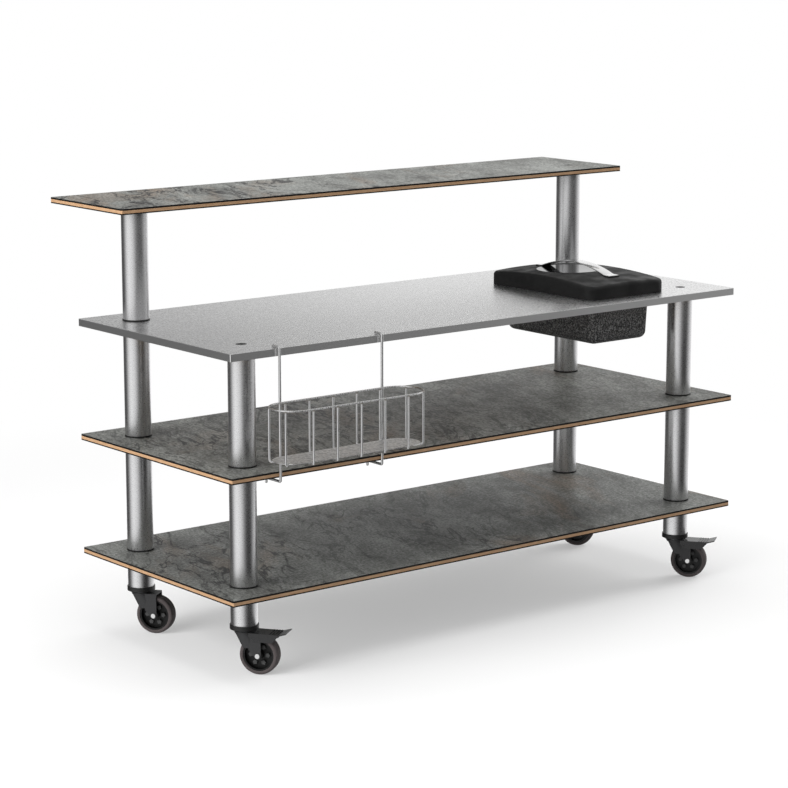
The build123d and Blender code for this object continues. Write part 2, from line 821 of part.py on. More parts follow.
with BuildPart() as lid:
    with BuildSketch(Plane.XY.offset(worktop_top + lid_foot_gap)):
        with Locations((tub_x, tub_y)):
            RectangleRounded(lid_width, lid_length, lid_corner)
    extrude(amount=lid_height + lid_edge_radius)
    with Locations((tub_x, tub_y, crown_centre)):
        Sphere(lid_crown_radius, rotation=pole_turn, mode=Mode.INTERSECT)
    fillet(lid.faces().sort_by(Axis.Z)[-1].edges(), lid_edge_radius)
    add(lid_dish.part, mode=Mode.SUBTRACT)
    with BuildSketch(Plane.XY.offset(worktop_top)):
        with Locations((tub_x, tub_y)):
            RectangleRounded(
                tub_width + 2 * flange_pocket,
                tub_length + 2 * flange_pocket,
                tub_corner + flange_pocket,
            )
    extrude(amount=tub_flange, mode=Mode.SUBTRACT)
    add(lid_cavity.part, mode=Mode.SUBTRACT)
    with BuildSketch(Plane.XY.offset(seat_z - lid_wall)):
        with Locations((tub_x, tub_y - foot_middle), (tub_x, tub_y + foot_middle)):
            RectangleRounded(
                handle_width + 2 * handle_pad_margin,
                handle_foot + 2 * handle_pad_margin,
                handle_pad_margin,
            )
    extrude(amount=lid_wall)
keep(lid.part, "lid")

arch_top = handle_sheet + handle_rise

with BuildPart() as lid_handle:
    with BuildSketch(Plane(origin=(tub_x, tub_y, seat_z), x_dir=(0, 1, 0), z_dir=(1, 0, 0))):
        with BuildLine():
            Line((-foot_inner, handle_sheet), (-handle_span / 2, handle_sheet))
            Line((-handle_span / 2, handle_sheet), (-handle_span / 2, 0))
            Line((-handle_span / 2, 0), (-foot_inner, 0))
            ThreePointArc((-foot_inner, 0), (0, handle_rise), (foot_inner, 0))
            Line((foot_inner, 0), (handle_span / 2, 0))
            Line((handle_span / 2, 0), (handle_span / 2, handle_sheet))
            Line((handle_span / 2, handle_sheet), (foot_inner, handle_sheet))
            ThreePointArc((foot_inner, handle_sheet), (0, arch_top), (-foot_inner, handle_sheet))
        make_face()
    extrude(amount=handle_width / 2, both=True)
    strap_underside = lid_handle.edges().filter_by(Axis.X).group_by(Axis.Z)[0].sort_by(Axis.Y)
    fillet(strap_underside[1:3], handle_bend_radius)
keep(lid_handle.part, "lid_handle")
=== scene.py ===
"""Looks of the modular bar station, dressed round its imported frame.

Metres, +Z up, floor at z = 0, X along the boards and Y from front to back.
"""

import json
import logging
import math
from collections.abc import Sequence
from dataclasses import dataclass, replace
from enum import Enum
from typing import Any

import bpy
import numpy as np
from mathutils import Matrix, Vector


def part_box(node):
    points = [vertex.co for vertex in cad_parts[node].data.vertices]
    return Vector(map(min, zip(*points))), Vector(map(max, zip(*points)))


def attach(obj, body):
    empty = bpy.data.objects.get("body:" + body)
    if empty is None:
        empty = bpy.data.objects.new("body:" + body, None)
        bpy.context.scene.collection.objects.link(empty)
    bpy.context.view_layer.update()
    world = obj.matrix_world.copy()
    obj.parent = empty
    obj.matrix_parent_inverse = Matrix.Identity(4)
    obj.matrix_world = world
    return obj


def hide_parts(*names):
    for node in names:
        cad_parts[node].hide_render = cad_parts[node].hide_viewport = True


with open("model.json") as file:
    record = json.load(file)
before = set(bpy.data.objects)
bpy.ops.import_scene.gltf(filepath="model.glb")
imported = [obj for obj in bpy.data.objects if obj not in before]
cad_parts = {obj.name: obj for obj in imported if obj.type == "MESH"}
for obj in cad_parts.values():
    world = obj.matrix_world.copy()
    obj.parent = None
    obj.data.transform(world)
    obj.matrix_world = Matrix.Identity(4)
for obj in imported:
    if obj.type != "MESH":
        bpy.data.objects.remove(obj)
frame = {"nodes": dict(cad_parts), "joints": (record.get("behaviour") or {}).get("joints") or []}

MM = 0.001
RIGHT = np.array([1.0, 0.0, 0.0])
BACK = np.array([0.0, 1.0, 0.0])
UP = np.array([0.0, 0.0, 1.0])
# Noise runs from 0 to 1, lies round this mean and keeps mostly to this span.
NOISE_MEAN = 0.5
NOISE_SPAN = (0.3, 0.7)
# A face is flat where its normal points up or down by more than this, and upright elsewhere.
FLAT_LEAN = 0.5

log = logging.getLogger("bar_station")

Tree = bpy.types.NodeTree
Socket = bpy.types.NodeSocket
Colour = tuple[float, float, float, float]
Point = tuple[float, float, float]
Span = tuple[float, float]


class Corner(Enum):
    """The four posts, by the name that their nodes carry."""

    FRONT_LEFT = "front_left"
    FRONT_RIGHT = "front_right"
    REAR_LEFT = "rear_left"
    REAR_RIGHT = "rear_right"

    @property
    def front(self) -> bool:
        """The front posts end under the worktop, and their casters carry brakes."""
        return self in (Corner.FRONT_LEFT, Corner.FRONT_RIGHT)


class Brushing(Enum):
    """Way a metal was finished, as the size of its grain along X, Y and Z over the grain's width.

    Blasted grit is drawn twice as long from front to back, so that it shows at a low angle.
    """

    UPRIGHT = (1.0, 1.0, 40.0)
    EVEN = (1.0, 1.0, 1.0)
    LENGTHWISE = (1.0, 40.0, 1.0)
    BLASTED = (1.0, 2.0, 1.0)


def linear(hex_code: str) -> Colour:
    """Turn an sRGB hex colour into linear RGBA.

    Args:
        hex_code: Six hex digits.

    Returns:
        Linear red, green, blue and an alpha of 1.
    """
    srgb = np.array([int(hex_code[i:i + 2], 16) for i in (0, 2, 4)]) / 255.0
    rgb = np.where(srgb <= 0.04045, srgb / 12.92, ((srgb + 0.055) / 1.055) ** 2.4)
    return (*(float(channel) for channel in rgb), 1.0)


def grey(level: float) -> Colour:
    """A linear grey, or a factor for a ramp to carry."""
    return (level, level, level, 1.0)


def around(middle: float, half: float) -> Span:
    """The span from half below a middle value to half above it."""
    return (middle - half, middle + half)


def add_node(
    tree: Tree,
    kind: str,
    settings: dict[str, Any] | None = None,
    inputs: dict[str | int, Any] | Sequence[Any] = (),
    out: str | int = 0,
) -> Socket | None:
    """Add one node with its settings, and set or link its inputs.

    Args:
        tree: The node tree.
        kind: Blender's node type.
        settings: Properties by name. "stops" holds a colour ramp's (place, colour) pairs.
        inputs: Values, or output sockets to link, in the order of the node's sockets, or by name or number.
        out: Name or number of the output to hand back.

    Returns:
        That output, or nothing from a node that has none.
    """
    node = tree.nodes.new(kind)
    for name, value in (settings or {}).items():
        if name == "stops":
            ramp = node.color_ramp.elements
            while len(ramp) < len(value):
                ramp.new(1.0)
            for stop, (place, colour) in zip(ramp, value):
                stop.position = place
                stop.color = colour
        else:
            setattr(node, name, value)
    for key, value in inputs.items() if isinstance(inputs, dict) else enumerate(inputs):
        if isinstance(value, Socket):
            tree.links.new(value, node.inputs[key])
        else:
            node.inputs[key].default_value = value
    return node.outputs[out] if len(node.outputs) else None


def flat_share(tree: Tree) -> Socket:
    """Tell the faces that look up or down from the upright ones.

    Args:
        tree: The material's node tree.

    Returns:
        1 on flat faces and 0 on upright ones.
    """
    normal = add_node(tree, "ShaderNodeNewGeometry", out="Normal")
    upward = add_node(tree, "ShaderNodeSeparateXYZ", inputs=(normal,), out="Z")
    lean = add_node(tree, "ShaderNodeMath", {"operation": "ABSOLUTE"}, (upward,))
    return add_node(tree, "ShaderNodeMath", {"operation": "GREATER_THAN"}, (lean, FLAT_LEAN))


@dataclass(frozen=True, kw_only=True)
class Finish:
    """One surface finish, named for the real material, with the record's slot that it stands for."""

    name: str
    slot: str
    relief_mm: float

    def material(self) -> bpy.types.Material:
        """Make the finish's material once.

        Returns:
            The material, kept under the finish's name.
        """
        made = bpy.data.materials.get(self.name)
        if made is None:
            made = bpy.data.materials.new(self.name)
            made.use_nodes = True
            tree = made.node_tree
            tree.nodes.clear()
            inputs = self.sockets(tree, add_node(tree, "ShaderNodeTexCoord", out="Object"))
            relief = {"Height": inputs.pop("Height"), "Strength": 1.0, "Distance": self.relief_mm * MM}
            inputs["Normal"] = add_node(tree, "ShaderNodeBump", inputs=relief)
            shader = add_node(tree, "ShaderNodeBsdfPrincipled", inputs=inputs)
            add_node(tree, "ShaderNodeOutputMaterial", inputs={"Surface": shader})
        return made

    def sockets(self, tree: Tree, place: Socket) -> dict[str, Any]:
        """Work out what goes into the shader.

        Args:
            tree: The material's node tree.
            place: Object coordinates, in metres.

        Returns:
            Values and links, by the name of the shader's socket, and the relief's Height.
        """
        raise NotImplementedError


@dataclass(frozen=True, kw_only=True)
class Metal(Finish):
    """Bare metal with a brushed or blasted grain."""

    colour: str
    roughness: float
    grain_mm: float
    brushing: Brushing
    tone_spread: float
    rough_spread: float
    tone_span: Span = (0.36, 0.64)
    upward_blur: float = 0.0
    smooth_edges: bool = False

    def sockets(self, tree: Tree, place: Socket) -> dict[str, Any]:
        """Let grain noise vary the tone, the roughness and a fine relief, and stretch gloss upwards if asked.

        Args:
            tree: The material's node tree.
            place: Object coordinates, in metres.

        Returns:
            Values and links, by the name of the shader's socket, and the relief's Height.
        """
        scale = tuple(1.0 / (self.grain_mm * MM * stretch) for stretch in self.brushing.value)
        drawn = add_node(tree, "ShaderNodeVectorMath", {"operation": "MULTIPLY"}, (place, scale))
        grain = add_node(tree, "ShaderNodeTexNoise", inputs={"Vector": drawn, "Scale": 1.0, "Detail": 3.0})
        if self.smooth_edges:
            grain = add_node(tree, "ShaderNodeMix", inputs={0: flat_share(tree), 2: NOISE_MEAN, 3: grain})
        base = linear(self.colour)[:3]
        tones = [
            (*(min(1.0, channel * share) for channel in base), 1.0) for share in around(1.0, self.tone_spread)
        ]
        tone = add_node(tree, "ShaderNodeValToRGB", {"stops": list(zip(self.tone_span, tones))}, (grain,))
        # Map Range takes the value, the span that it comes from and the span that it goes to.
        span = around(self.roughness, self.rough_spread)
        rough = add_node(tree, "ShaderNodeMapRange", inputs=(grain, *NOISE_SPAN, *span))
        made = {"Base Color": tone, "Roughness": rough, "Height": grain, "Metallic": 1.0}
        if self.upward_blur:
            upward = add_node(tree, "ShaderNodeCombineXYZ", inputs={"Z": 1.0})
            made |= {"Tangent": upward, "Anisotropic": self.upward_blur}
        return made


@dataclass(frozen=True, kw_only=True)
class Plastic(Finish):
    """Moulded plastic, rubber or a powder coat, with a mottled tone and a moulded grain."""

    colour: str
    fleck: str
    roughness: float
    grain_mm: float
    fleck_share: float
    fleck_span: Span = (0.62, 0.72)
    rough_share: float = 0.1
    ior: float = 1.5

    def sockets(self, tree: Tree, place: Socket) -> dict[str, Any]:
        """Let grain noise lift flecks out of the base colour, and give the moulded relief.

        Args:
            tree: The material's node tree.
            place: Object coordinates, in metres.

        Returns:
            Values and links, by the name of the shader's socket, and the relief's Height.
        """
        grain = add_node(
            tree, "ShaderNodeTexNoise",
            inputs={"Vector": place, "Scale": 1.0 / (self.grain_mm * MM), "Detail": 2.0, "Roughness": 0.6},
        )
        start, full = self.fleck_span
        stops = [(start - self.fleck_share, linear(self.colour)), (full, linear(self.fleck))]
        tone = add_node(tree, "ShaderNodeValToRGB", {"stops": stops}, (grain,))
        return {
            "Base Color": self.tint(tree, place, tone), "Roughness": self.gloss(tree, place, grain),
            "Height": grain, "IOR": self.ior,
        }

    def tint(self, tree: Tree, place: Socket, tone: Socket) -> Socket:
        """Plain plastic keeps its mottled tone."""
        return tone

    def gloss(self, tree: Tree, place: Socket, grain: Socket) -> Socket:
        """Work out the roughness over the surface.

        Args:
            tree: The material's node tree.
            place: Object coordinates, in metres. Not used here.
            grain: The grain's noise, from 0 to 1.

        Returns:
            A roughness that follows the grain by a small share.
        """
        span = around(self.roughness, self.roughness * self.rough_share)
        return add_node(tree, "ShaderNodeMapRange", inputs=(grain, *NOISE_SPAN, *span))


@dataclass(frozen=True, kw_only=True)
class BuffedPlastic(Plastic):
    """Satin plastic with one round place buffed to a mirror."""

    buffed_roughness: float
    centre: tuple[float, float]
    radius_mm: float
    rim_mm: float = 2.0
    smudge_mm: float = 45.0
    smudge_span: Span = (0.35, 0.65)
    smudge_spread: float = 0.14

    def gloss(self, tree: Tree, place: Socket, grain: Socket) -> Socket:
        """Work out the roughness over the surface.

        Args:
            tree: The material's node tree.
            place: Object coordinates, in metres.
            grain: The grain's noise, which the smudges of hands hide. Not used here.

        Returns:
            The satin roughness, lower where it is smudged, and the buffed one within the radius in plan.
        """
        smudge = add_node(
            tree, "ShaderNodeTexNoise",
            inputs={"Vector": place, "Scale": 1.0 / (self.smudge_mm * MM), "Detail": 3.0},
        )
        span = around(self.roughness, -self.smudge_spread)
        satin = add_node(tree, "ShaderNodeMapRange", inputs=(smudge, *self.smudge_span, *span))
        plan = add_node(tree, "ShaderNodeVectorMath", {"operation": "MULTIPLY"}, (place, (1.0, 1.0, 0.0)))
        away = add_node(
            tree, "ShaderNodeVectorMath", {"operation": "DISTANCE"}, (plan, (*self.centre, 0.0)), out="Value"
        )
        rim = ((self.radius_mm - self.rim_mm) * MM, self.radius_mm * MM)
        outside = add_node(tree, "ShaderNodeMapRange", inputs=(away, *rim))
        return add_node(tree, "ShaderNodeMix", inputs={0: outside, 2: self.buffed_roughness, 3: satin})


@dataclass(frozen=True, kw_only=True)
class PadSheenPlastic(Plastic):
    """Moulded plastic of a wheel, whose raised pads stand in a ring round the axle and carry a painted sheen
    of grey.
    """

    # Painted sheen: the raised pads' grey stands for the light that they catch.
    pad_sheen: str = "3c3c3c"
    centre: Point = (0.0, 0.0, 0.0)
    axle: Point = (0.0, 0.0, 1.0)
    face_mm: float = 6.0
    ring_mm: float = 19.5
    ring_half_mm: float = 7.0

    def tint(self, tree: Tree, place: Socket, tone: Socket) -> Socket:
        """Lighten the pads with a painted sheen.

        Args:
            tree: The material's node tree.
            place: Object coordinates, in metres.
            tone: The mottled tone.

        Returns:
            The tone, or the painted sheen colour further out along the axle than the web and within the pads'
            ring.
        """
        offset = add_node(tree, "ShaderNodeVectorMath", {"operation": "SUBTRACT"}, (place, self.centre))
        height = add_node(
            tree, "ShaderNodeVectorMath", {"operation": "DOT_PRODUCT"}, (offset, self.axle), out="Value"
        )
        height = add_node(tree, "ShaderNodeMath", {"operation": "ABSOLUTE"}, (height,))
        raised = add_node(tree, "ShaderNodeMath", {"operation": "GREATER_THAN"}, (height, self.face_mm * MM))
        swing = add_node(tree, "ShaderNodeVectorMath", {"operation": "CROSS_PRODUCT"}, (offset, self.axle))
        radius = add_node(tree, "ShaderNodeVectorMath", {"operation": "LENGTH"}, (swing,), out="Value")
        ring = add_node(
            tree, "ShaderNodeMath", {"operation": "COMPARE"},
            (radius, self.ring_mm * MM, self.ring_half_mm * MM),
        )
        pads = add_node(tree, "ShaderNodeMath", {"operation": "MULTIPLY"}, (raised, ring))
        # Painted sheen: the pads take the lighter grey.
        shares = {0: pads, 6: tone, 7: linear(self.pad_sheen)}
        return add_node(tree, "ShaderNodeMix", {"data_type": "RGBA"}, shares, out=2)


@dataclass(frozen=True, kw_only=True)
class StoneLaminate(Finish):
    """High-pressure laminate with a printed slate face and a black phenolic edge."""

    pale: str
    dark: str
    rust: str
    crack: str
    edge: str
    cloud_mm: float
    streak_mm: float
    stain_mm: float
    vein_mm: float
    grit_mm: float
    roughness: float
    edge_roughness: float
    bedding_deg: float
    bedding_stretch: float
    calm_span: Span
    relief_mm: float = 0.25
    streak_share: float = 0.45
    slate_span: Span = (0.35, 0.65)
    rust_span: Span = (0.52, 0.68)
    rust_share: float = 0.6
    line_span: Span = (0.007, 0.026)
    broken_span: Span = (0.4, 0.52)
    faint_share: float = 0.3
    grit_lean: Point = (1.0, 0.55, 1.0)
    grit_span: Span = (0.34, 0.66)
    grit_tone: Span = (0.28, 1.72)
    rough_spread: float = 0.08

    def cracks(self, tree: Tree, place: Socket, vein: Socket, stain: Socket) -> Socket:
        """Draw a crack wherever the vein noise passes its mean.

        Args:
            tree: The material's node tree.
            place: Object coordinates, in metres.
            vein: The vein's noise.
            stain: The stain's noise. The cracks are faint where it is low, and towards the right.

        Returns:
            1 in a crack, less in a faint one, and 0 beside it.
        """
        ridge = add_node(tree, "ShaderNodeMath", {"operation": "SUBTRACT"}, (vein, NOISE_MEAN))
        ridge = add_node(tree, "ShaderNodeMath", {"operation": "ABSOLUTE"}, (ridge,))
        stops = list(zip(self.line_span, (grey(1.0), grey(0.0))))
        line = add_node(tree, "ShaderNodeValToRGB", {"stops": stops}, (ridge,))
        broken = add_node(
            tree, "ShaderNodeMapRange", inputs=(stain, *self.broken_span, self.faint_share, 1.0)
        )
        lengthwise = add_node(tree, "ShaderNodeSeparateXYZ", inputs=(place,), out="X")
        calm = add_node(
            tree, "ShaderNodeMapRange", inputs=(lengthwise, *self.calm_span, 1.0, self.faint_share)
        )
        broken = add_node(tree, "ShaderNodeMath", {"operation": "MULTIPLY"}, (calm, broken))
        return add_node(tree, "ShaderNodeMath", {"operation": "MULTIPLY"}, (line, broken))

    def sockets(self, tree: Tree, place: Socket) -> dict[str, Any]:
        """Lay clouds and bedding streaks of two greys, then rust tints, cracks and grit, and a plain edge.

        Args:
            tree: The material's node tree.
            place: Object coordinates, in metres.

        Returns:
            Values and links, by the name of the shader's socket, and the relief's Height.
        """
        bedding = add_node(
            tree, "ShaderNodeMapping", {"vector_type": "TEXTURE"}, {
                "Vector": place, "Rotation": (0.0, 0.0, math.radians(self.bedding_deg)),
                "Scale": (1.0, self.bedding_stretch, 1.0),
            },
        )
        cloud, streak, stain, vein = (
            add_node(
                tree, "ShaderNodeTexNoise", inputs={
                    "Vector": bedding, "Scale": 1.0 / (size_mm * MM), "Detail": detail,
                    "Roughness": fineness, "Distortion": distortion,
                },
            )
            for size_mm, detail, fineness, distortion in (
                (self.cloud_mm, 8.0, 0.68, 0.0), (self.streak_mm, 4.0, 0.7, 0.0),
                (self.stain_mm, 7.0, 0.66, 0.9), (self.vein_mm, 6.0, 0.62, 0.6),
            )
        )
        bed = add_node(tree, "ShaderNodeMix", inputs={0: self.streak_share, 2: cloud, 3: streak})
        stops = list(zip(self.slate_span, (linear(self.dark), linear(self.pale))))
        tone = add_node(tree, "ShaderNodeValToRGB", {"stops": stops}, (bed,))
        stops = list(zip(self.rust_span, (grey(0.0), grey(self.rust_share))))
        rusted = add_node(tree, "ShaderNodeValToRGB", {"stops": stops}, (stain,))
        cracked = self.cracks(tree, place, vein, stain)
        for share, colour in ((rusted, self.rust), (cracked, self.crack)):
            shares = {0: share, 6: tone, 7: linear(colour)}
            tone = add_node(tree, "ShaderNodeMix", {"data_type": "RGBA"}, shares, out=2)
        lean = add_node(tree, "ShaderNodeVectorMath", {"operation": "MULTIPLY"}, (place, self.grit_lean))
        grit = add_node(
            tree, "ShaderNodeTexNoise",
            inputs={"Vector": lean, "Scale": 1.0 / (self.grit_mm * MM), "Detail": 2.0, "Roughness": 0.8},
        )
        speckle = add_node(tree, "ShaderNodeMapRange", inputs=(grit, *self.grit_span, *self.grit_tone))
        shares = {0: 1.0, 6: tone, 7: speckle}
        face = add_node(
            tree, "ShaderNodeMix", {"data_type": "RGBA", "blend_type": "MULTIPLY"}, shares, out=2
        )
        flat = flat_share(tree)
        shares = {0: flat, 6: linear(self.edge), 7: face}
        whole = add_node(tree, "ShaderNodeMix", {"data_type": "RGBA"}, shares, out=2)
        span = around(self.roughness, -self.rough_spread)
        rough = add_node(tree, "ShaderNodeMapRange", inputs=(bed, *NOISE_SPAN, *span))
        rough = add_node(tree, "ShaderNodeMix", inputs={0: flat, 2: self.edge_roughness, 3: rough})
        return {"Base Color": whole, "Roughness": rough, "Height": grit}


@dataclass(frozen=True, kw_only=True)
class Plywood(Finish):
    """Wood board whose cut edge shows its plies and short grain."""

    pale: str
    dark: str
    ply_mm: float
    grain_mm: float
    roughness: float
    relief_mm: float = 0.1
    glue: str = "0a0807"
    glue_mm: float = 0.0
    top: float = 0.0
    grain_stretch: Point = (12.0, 12.0, 1.0)
    ply_contrast: float = 0.4
    tone_span: Span = (0.25, 0.8)

    def sockets(self, tree: Tree, place: Socket) -> dict[str, Any]:
        """Let alternate plies differ in tone, run long thin grain through them, and darken glue at the top.

        Args:
            tree: The material's node tree.
            place: Object coordinates, in metres.

        Returns:
            Values and links, by the name of the shader's socket, and the relief's Height.
        """
        ply = self.ply_mm * MM
        height = add_node(tree, "ShaderNodeSeparateXYZ", inputs=(place,), out="Z")
        layer = add_node(tree, "ShaderNodeMath", {"operation": "PINGPONG"}, (height, ply))
        layer = add_node(tree, "ShaderNodeMath", {"operation": "DIVIDE"}, (layer, ply))
        scale = tuple(1.0 / (self.grain_mm * MM * stretch) for stretch in self.grain_stretch)
        drawn = add_node(tree, "ShaderNodeVectorMath", {"operation": "MULTIPLY"}, (place, scale))
        grain = add_node(tree, "ShaderNodeTexNoise", inputs={"Vector": drawn, "Scale": 1.0, "Detail": 4.0})
        share = add_node(
            tree, "ShaderNodeMath", {"operation": "MULTIPLY_ADD"},
            (layer, self.ply_contrast, -self.ply_contrast / 2.0),
        )
        share = add_node(tree, "ShaderNodeMath", {"operation": "ADD"}, (share, grain))
        stops = list(zip(self.tone_span, (linear(self.dark), linear(self.pale))))
        tone = add_node(tree, "ShaderNodeValToRGB", {"stops": stops}, (share,))
        if self.glue_mm:
            start = self.top - self.glue_mm * MM
            glued = add_node(tree, "ShaderNodeMath", {"operation": "GREATER_THAN"}, (height, start))
            shares = {0: glued, 6: tone, 7: linear(self.glue)}
            tone = add_node(tree, "ShaderNodeMix", {"data_type": "RGBA"}, shares, out=2)
        return {"Base Color": tone, "Roughness": self.roughness, "Height": share}


# Slate print under a satin lacquer: the eye sees grey clouds, streaks along the bedding, rust tints, and
# cracks that are fainter towards the right. The grit is drawn 5 mm wide so that it shows.
SLATE = StoneLaminate(
    name="slate_look_laminate", slot="slate_laminate", pale="868884", dark="4c4c49", rust="6e5a47",
    crack="0a0908", edge="080707", cloud_mm=150.0, streak_mm=34.0, stain_mm=240.0, vein_mm=80.0, grit_mm=5.0,
    roughness=0.52, edge_roughness=0.95, bedding_deg=-20.0, bedding_stretch=2.5, calm_span=(0.0, 0.45),
)
# Oiled birch plywood, saw cut: warm tan plies that read as one band. Black glue has soaked in at the top.
PLY = Plywood(
    name="birch_plywood", slot="plywood", pale="bf9d7c", dark="a07b58", ply_mm=1.36, grain_mm=1.6,
    roughness=0.55, glue_mm=1.2,
)
# Chipboard under the worktop sheet: plain, dull and brown.
CHIPBOARD = Plywood(
    name="chipboard", slot="filler_board", pale="b09a7c", dark="8d7657", ply_mm=5.0, grain_mm=3.0,
    roughness=0.7,
)
# Bead-blasted stainless sheet: a blurred mirror with a fine glitter, and plain folded edges. The grit is
# drawn 3 mm wide so that it shows.
BLASTED = Metal(
    name="blasted_stainless", slot="satin_steel", colour="f8f8f8", roughness=0.32, grain_mm=3.0,
    brushing=Brushing.BLASTED, tone_spread=0.38, rough_spread=0.06, relief_mm=0.02, smooth_edges=True,
)
# Stainless tube, ground and then lightly blasted: soft bands that run up it, under a fine speckle that is
# drawn 2 mm wide so that it shows.
GROUND = Metal(
    name="ground_stainless", slot="tube_steel", colour="e2e2e3", roughness=0.3, grain_mm=2.2,
    brushing=Brushing.EVEN, tone_spread=0.09, rough_spread=0.04, relief_mm=0.004, upward_blur=0.6,
)
# Satin chromed wire: nearly white with soft streaks.
WIRE = Metal(
    name="satin_chrome_wire", slot="basket_wire", colour="e6e6e6", roughness=0.28, grain_mm=1.5,
    brushing=Brushing.UPRIGHT, tone_spread=0.05, rough_spread=0.05, relief_mm=0.01,
)
# Weld beads left as they set: the wire's own metal, duller and browned by heat.
WELD = Metal(
    name="welded_steel", slot="basket_wire", colour="a8a39c", roughness=0.42, grain_mm=1.0,
    brushing=Brushing.BLASTED, tone_spread=0.15, rough_spread=0.1, relief_mm=0.05,
)
# Satin sheet in the basket: blasted like the worktop, with its grit drawn 4 mm wide so that it shows.
SHEET = Metal(
    name="satin_sheet", slot="basket_sheet", colour="e2e2e2", roughness=0.36, grain_mm=4.0,
    brushing=Brushing.BLASTED, tone_spread=0.35, rough_spread=0.06, relief_mm=0.02,
)
# Polished steel of the axle bolts and the lid's strap: a clear mirror with faint lengthwise lines.
POLISHED = Metal(
    name="polished_steel", slot="axle_steel", colour="e2e2e2", roughness=0.12, grain_mm=1.0,
    brushing=Brushing.LENGTHWISE, tone_spread=0.03, rough_spread=0.03, relief_mm=0.004,
)
STRAP = replace(POLISHED, name="polished_strap", slot="handle_steel", colour="e6e6e6", roughness=0.14)
# Zinc plate on rods and stems: dull grey with a fine crystal grain.
ZINC = Metal(
    name="zinc_plated_steel", slot="rod_steel", colour="a9abad", roughness=0.4, grain_mm=1.5,
    brushing=Brushing.BLASTED, tone_spread=0.1, rough_spread=0.08, relief_mm=0.01,
)
STEM_ZINC = replace(ZINC, name="zinc_plated_stem", slot="stem_steel", colour="8c8e90")
# Black oxide on the cap nuts: dark steel with a low sheen.
BLACK_OXIDE = Metal(
    name="black_oxide_steel", slot="cap_black", colour="2a2a2a", roughness=0.5, grain_mm=1.0,
    brushing=Brushing.BLASTED, tone_spread=0.1, rough_spread=0.08, relief_mm=0.01,
)
# Nylon of collars, sockets and plugs: black or dark grey, with a fine moulded grain.
NYLON = Plastic(
    name="black_nylon", slot="black_collar", colour="161616", fleck="242424", roughness=0.45, grain_mm=0.8,
    fleck_share=0.1, relief_mm=0.02,
)
PLUG_NYLON = replace(
    NYLON, name="grey_nylon", slot="plug_plastic", colour="2c2c2c", fleck="3a3a3a", roughness=0.5
)
# Powder coat on forks and brake pins: charcoal with a fine orange peel.
COAT = Plastic(
    name="charcoal_powder_coat", slot="fork_charcoal", colour="262627", fleck="343435", roughness=0.5,
    grain_mm=1.0, fleck_share=0.15, relief_mm=0.03,
)
# Pedals of glazed nylon: black, with a clear highlight along their edges.
PEDAL_NYLON = Plastic(
    name="glazed_nylon", slot="fork_charcoal", colour="1a1a1b", fleck="262627", roughness=0.25, grain_mm=1.0,
    fleck_share=0.15, relief_mm=0.01,
)
# Polypropylene wheel centre: near black and dull, with its raised pads painted grey, a painted sheen where
# they catch the light. Each wheel lays its own ring of pads.
WHEEL = PadSheenPlastic(
    name="black_polypropylene", slot="wheel_black", colour="040404", fleck="0a0a0a", roughness=0.6,
    grain_mm=1.0, fleck_share=0.1, relief_mm=0.02,
)
# Thermoplastic rubber tread: warm charcoal, matt, with dust in its grain.
RUBBER = Plastic(
    name="tread_rubber", slot="tread_rubber", colour="1d1819", fleck="2b2526", roughness=0.75, grain_mm=1.4,
    fleck_share=0.15, relief_mm=0.05,
)
# Tub of grained ABS: charcoal with pale flecks, drawn 3 mm wide so that they show.
TUB_ABS = Plastic(
    name="grained_abs", slot="tub_charcoal", colour="121212", fleck="8e8e8e", roughness=0.5, grain_mm=3.2,
    fleck_share=0.18, relief_mm=0.1,
)
# Lid of satin ABS, smudged by hands and buffed to a black mirror in its dish.
LID_ABS = BuffedPlastic(
    name="buffed_abs", slot="lid_black", colour="060606", fleck="0a0a0a", roughness=0.6, grain_mm=1.2,
    fleck_share=0.1, relief_mm=0.01, buffed_roughness=0.06, centre=(0.460, -0.0182), radius_mm=82.0,
)


def dress(finish: Finish, *nodes: str) -> None:
    """Give CAD nodes a finish.

    Args:
        finish: The finish.
        nodes: Names of the nodes.
    """
    for name in nodes:
        slots = frame["nodes"][name].data.materials
        slots.clear()
        slots.append(finish.material())
        log.info("dressed %s in %s", name, finish.name)


def carry(
    section: np.ndarray,
    centres: np.ndarray,
    across: np.ndarray,
    upward: np.ndarray,
    swell: np.ndarray | float = 1.0,
) -> np.ndarray:
    """Carry a closed section along a path.

    Point (i, j) is the path's centre i plus the section's point j, laid out on the directions across and
    upward there and swollen by the factor there. The section runs anticlockwise in (across, upward), and
    across times upward points back along the path, so that the faces look outwards.

    Args:
        section: n points (across, upward), in metres.
        centres: m points of the path.
        across: m unit vectors, or one for all.
        upward: m unit vectors, or one for all.
        swell: m factors, or one for all.

    Returns:
        An m by n grid of points.
    """
    steps = len(centres)
    across = np.broadcast_to(across, (steps, 3))[:, None]
    upward = np.broadcast_to(upward, (steps, 3))[:, None]
    swell = np.broadcast_to(swell, (steps,))[:, None, None]
    return centres[:, None] + swell * (section[None, :, :1] * across + section[None, :, 1:] * upward)


def round_section(radius: float, steps: int) -> np.ndarray:
    """A circle: (r cos t, r sin t) for t once round.

    Args:
        radius: Radius in metres.
        steps: Number of points.

    Returns:
        The points, anticlockwise.
    """
    turn = np.linspace(0.0, 2.0 * np.pi, steps, endpoint=False)
    return radius * np.stack((np.cos(turn), np.sin(turn)), axis=1)


def bar_section(width: float, height: float, edge: float, steps: int) -> np.ndarray:
    """A rectangle with round corners: the four corner circles' quarters, joined by straight sides.

    Args:
        width: Full size across.
        height: Full size upward.
        edge: Radius of the corners.
        steps: Points in each corner.

    Returns:
        The points, anticlockwise round the middle.
    """
    quarter = np.linspace(0.0, np.pi / 2.0, steps)
    turn = (quarter + np.pi / 2.0 * np.arange(4)[:, None]).ravel()
    centre = np.array([(1, 1), (-1, 1), (-1, -1), (1, -1)]) * (width / 2.0 - edge, height / 2.0 - edge)
    return np.repeat(centre, steps, axis=0) + edge * np.stack((np.cos(turn), np.sin(turn)), axis=1)


